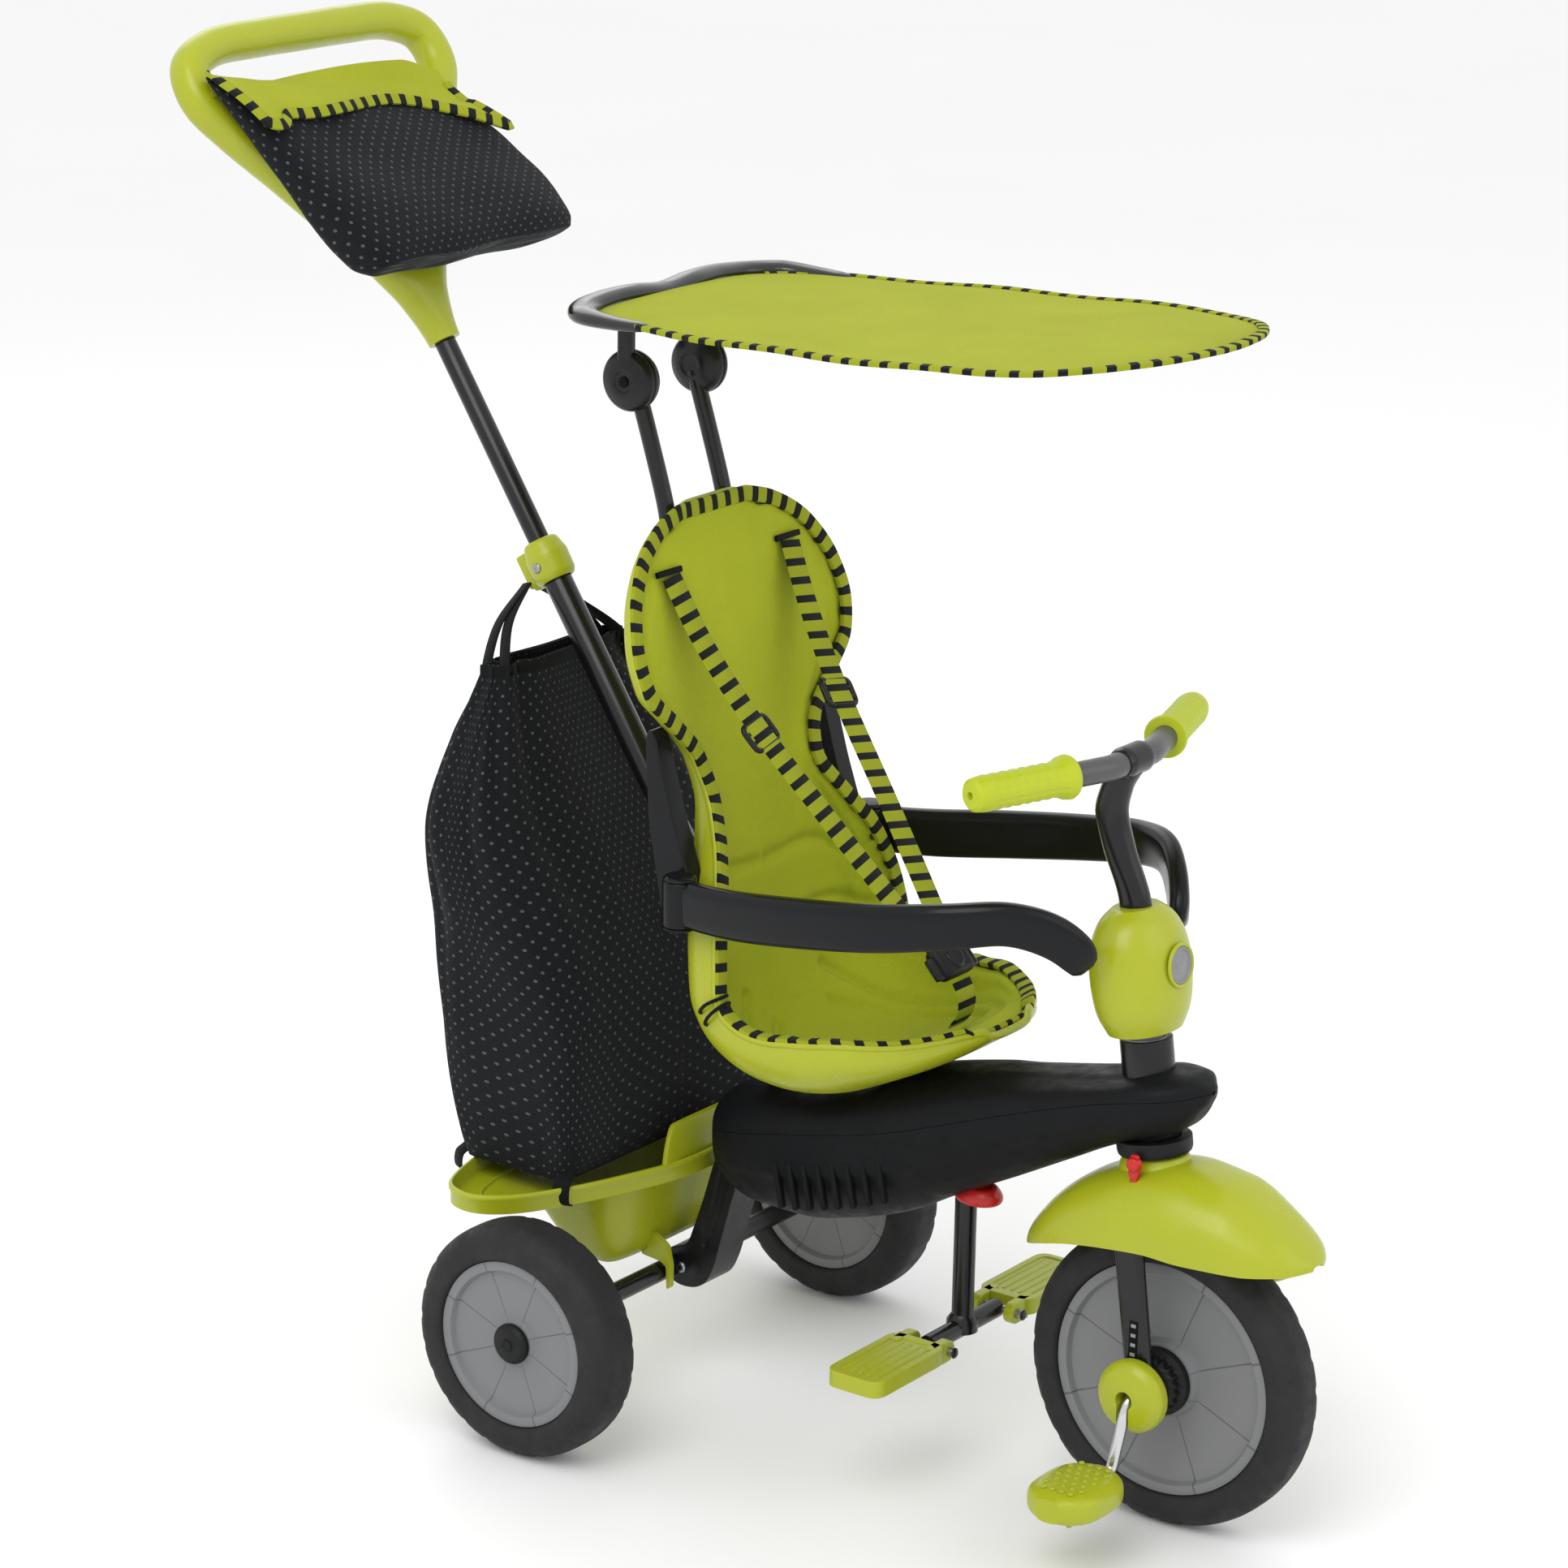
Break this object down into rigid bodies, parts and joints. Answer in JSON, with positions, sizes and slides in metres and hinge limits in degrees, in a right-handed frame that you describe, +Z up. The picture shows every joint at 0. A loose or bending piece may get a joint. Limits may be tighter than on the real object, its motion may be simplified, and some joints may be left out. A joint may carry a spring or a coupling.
{
  "type": "children's push tricycle",
  "caption": "Children's tricycle with bucket seat and harness, swing-open guard arms, sun canopy, telescoping push handle with pouch, fold-up foot pads and rear bucket with a hanging bag.",
  "frame": {"origin": "on the ground, under the middle of the whole object's box", "axes": "+X forward towards the front wheel, +Y to the rider's left, +Z up"},
  "size_m": [1.0438, 0.4848, 1.1042],
  "materials": {
    "lime_plastic": "glossy moulded plastic, lime green",
    "black_plastic": "satin to glossy moulded plastic, black",
    "black_steel": "glossy black powder coat on steel tube",
    "tyre_rubber": "matt dark foam-filled tyre",
    "grey_plastic": "satin moulded plastic, mid grey",
    "lime_fabric": "woven polyester, lime green, with black and lime striped binding",
    "charcoal_fabric": "woven polyester, charcoal with small grey dots",
    "chrome_wire": "bright plated steel wire",
    "grey_steel": "grey painted steel tube",
    "red_plastic": "glossy moulded plastic, red"
  },
  "bodies": {
    "frame": {"frame_backbone": "black_steel", "head_tube": "black_steel", "neck_collar": "black_plastic", "rear_axle": "black_steel", "rear_bracket": "black_plastic", "body_shell_upper": "black_plastic", "body_shell_lower": "black_plastic", "seat_shell": "lime_plastic", "seat_liner": "lime_fabric", "shoulder_strap_left": "lime_fabric", "shoulder_strap_right": "lime_fabric", "harness_buckle": "black_plastic", "crotch_strap": "lime_fabric", "guard_hinge_left": "black_plastic", "guard_hinge_right": "black_plastic", "canopy_post_left": "black_plastic", "canopy_post_right": "black_plastic", "push_tube_lower": "black_steel", "pole_collar": "lime_plastic", "storage_bucket": "lime_plastic", "tote_bag": "charcoal_fabric", "head_cover": "lime_plastic", "head_badge": "grey_plastic"},
    "steering": {"fork": "black_plastic", "fender": "lime_plastic", "handlebar_stem": "black_plastic", "handlebar_tube": "grey_steel", "grip_left": "lime_plastic", "grip_right": "lime_plastic"},
    "clutch_lever": {"clutch_lever": "red_plastic"},
    "front_wheel": {"front_tyre": "tyre_rubber", "front_wheel_disc": "grey_plastic", "clutch_hub_left": "black_plastic", "clutch_hub_right": "black_plastic"},
    "crank": {"pedal_crank": "chrome_wire", "crank_boss_left": "lime_plastic", "crank_boss_right": "lime_plastic"},
    "pedal_left": {"pedal_left": "lime_plastic"},
    "pedal_right": {"pedal_right": "lime_plastic"},
    "rear_wheel_left": {"rear_tyre_left": "tyre_rubber", "rear_wheel_disc_left": "grey_plastic", "rear_hub_cap_left": "black_plastic"},
    "rear_wheel_right": {"rear_tyre_right": "tyre_rubber", "rear_wheel_disc_right": "grey_plastic", "rear_hub_cap_right": "black_plastic"},
    "footrest": {"footrest_frame": "black_steel"},
    "foot_pad_left": {"foot_pad_left": "lime_plastic"},
    "foot_pad_right": {"foot_pad_right": "lime_plastic"},
    "release_button": {"release_button": "red_plastic"},
    "canopy": {"canopy_arm_left": "black_plastic", "canopy_arm_right": "black_plastic", "canopy_bow": "black_plastic", "canopy_sheet": "lime_fabric"},
    "push_handle": {"push_tube_upper": "black_steel", "push_handle": "lime_plastic", "handle_pouch": "charcoal_fabric"},
    "guard_arm_left": {"guard_arm_left": "black_plastic"},
    "guard_arm_right": {"guard_arm_right": "black_plastic"}
  },
  "joints": [
    {"name": "steering_turn", "type": "hinge", "parent": "frame", "child": "steering", "pos_m": [0.36597, 0, 0.35], "axis": [-0.1392, 0, 0.9903], "range_deg": [-30, 30]},
    {"name": "front_wheel_spin", "type": "hinge", "parent": "steering", "child": "front_wheel", "pos_m": [0.3977, 0, 0.12421], "axis": [0, 1, 0], "continuous": true},
    {"name": "crank_spin", "type": "hinge", "parent": "steering", "child": "crank", "pos_m": [0.3977, 0, 0.12421], "axis": [0, 1, 0], "continuous": true},
    {"name": "pedal_left_spin", "type": "hinge", "parent": "crank", "child": "pedal_left", "pos_m": [0.40293, 0.13, 0.18399], "axis": [0, 1, 0], "continuous": true},
    {"name": "pedal_right_spin", "type": "hinge", "parent": "crank", "child": "pedal_right", "pos_m": [0.39247, -0.13, 0.06444], "axis": [0, 1, 0], "continuous": true},
    {"name": "clutch_lever_tilt", "type": "hinge", "parent": "steering", "child": "clutch_lever", "pos_m": [0.3757, -0.035, 0.2975], "axis": [0, 1, 0], "range_deg": [0, 20]},
    {"name": "rear_wheel_left_spin", "type": "hinge", "parent": "frame", "child": "rear_wheel_left", "pos_m": [-0.0813, 0.216, 0.09838], "axis": [0, 1, 0], "continuous": true},
    {"name": "rear_wheel_right_spin", "type": "hinge", "parent": "frame", "child": "rear_wheel_right", "pos_m": [-0.0813, -0.216, 0.09838], "axis": [0, 1, 0], "continuous": true},
    {"name": "footrest_height", "type": "slide", "parent": "frame", "child": "footrest", "axis": [0, 0, 1], "range_m": [0, 0.03]},
    {"name": "foot_pad_left_fold", "type": "hinge", "parent": "footrest", "child": "foot_pad_left", "pos_m": [0.1977, 0.05, 0.11], "axis": [1, 0, 0], "range_deg": [0, 65]},
    {"name": "foot_pad_right_fold", "type": "hinge", "parent": "footrest", "child": "foot_pad_right", "pos_m": [0.1977, -0.05, 0.11], "axis": [1, 0, 0], "range_deg": [-65, 0]},
    {"name": "release_button_press", "type": "slide", "parent": "frame", "child": "release_button", "axis": [0, 0, 1], "range_m": [0, 0.003], "stiffness_N_per_m": 150, "springref_m": -0.001},
    {"name": "canopy_tilt", "type": "hinge", "parent": "frame", "child": "canopy", "pos_m": [-0.1173, 0, 0.855], "axis": [0, 1, 0], "range_deg": [-15, 25]},
    {"name": "handle_height", "type": "slide", "parent": "frame", "child": "push_handle", "axis": [-0.5508, 0, 0.8346], "range_m": [-0.1, 0.06]},
    {"name": "guard_arm_left_open", "type": "hinge", "parent": "frame", "child": "guard_arm_left", "pos_m": [0.0027, 0.131, 0.464], "axis": [0, 0, 1], "range_deg": [0, 60]},
    {"name": "guard_arm_right_open", "type": "hinge", "parent": "frame", "child": "guard_arm_right", "pos_m": [0.0027, -0.131, 0.464], "axis": [0, 0, 1], "range_deg": [-60, 0]}
  ],
  "couplings": [
    {"joint": "crank_spin", "follows": "front_wheel_spin", "ratio": 1}
  ]
}
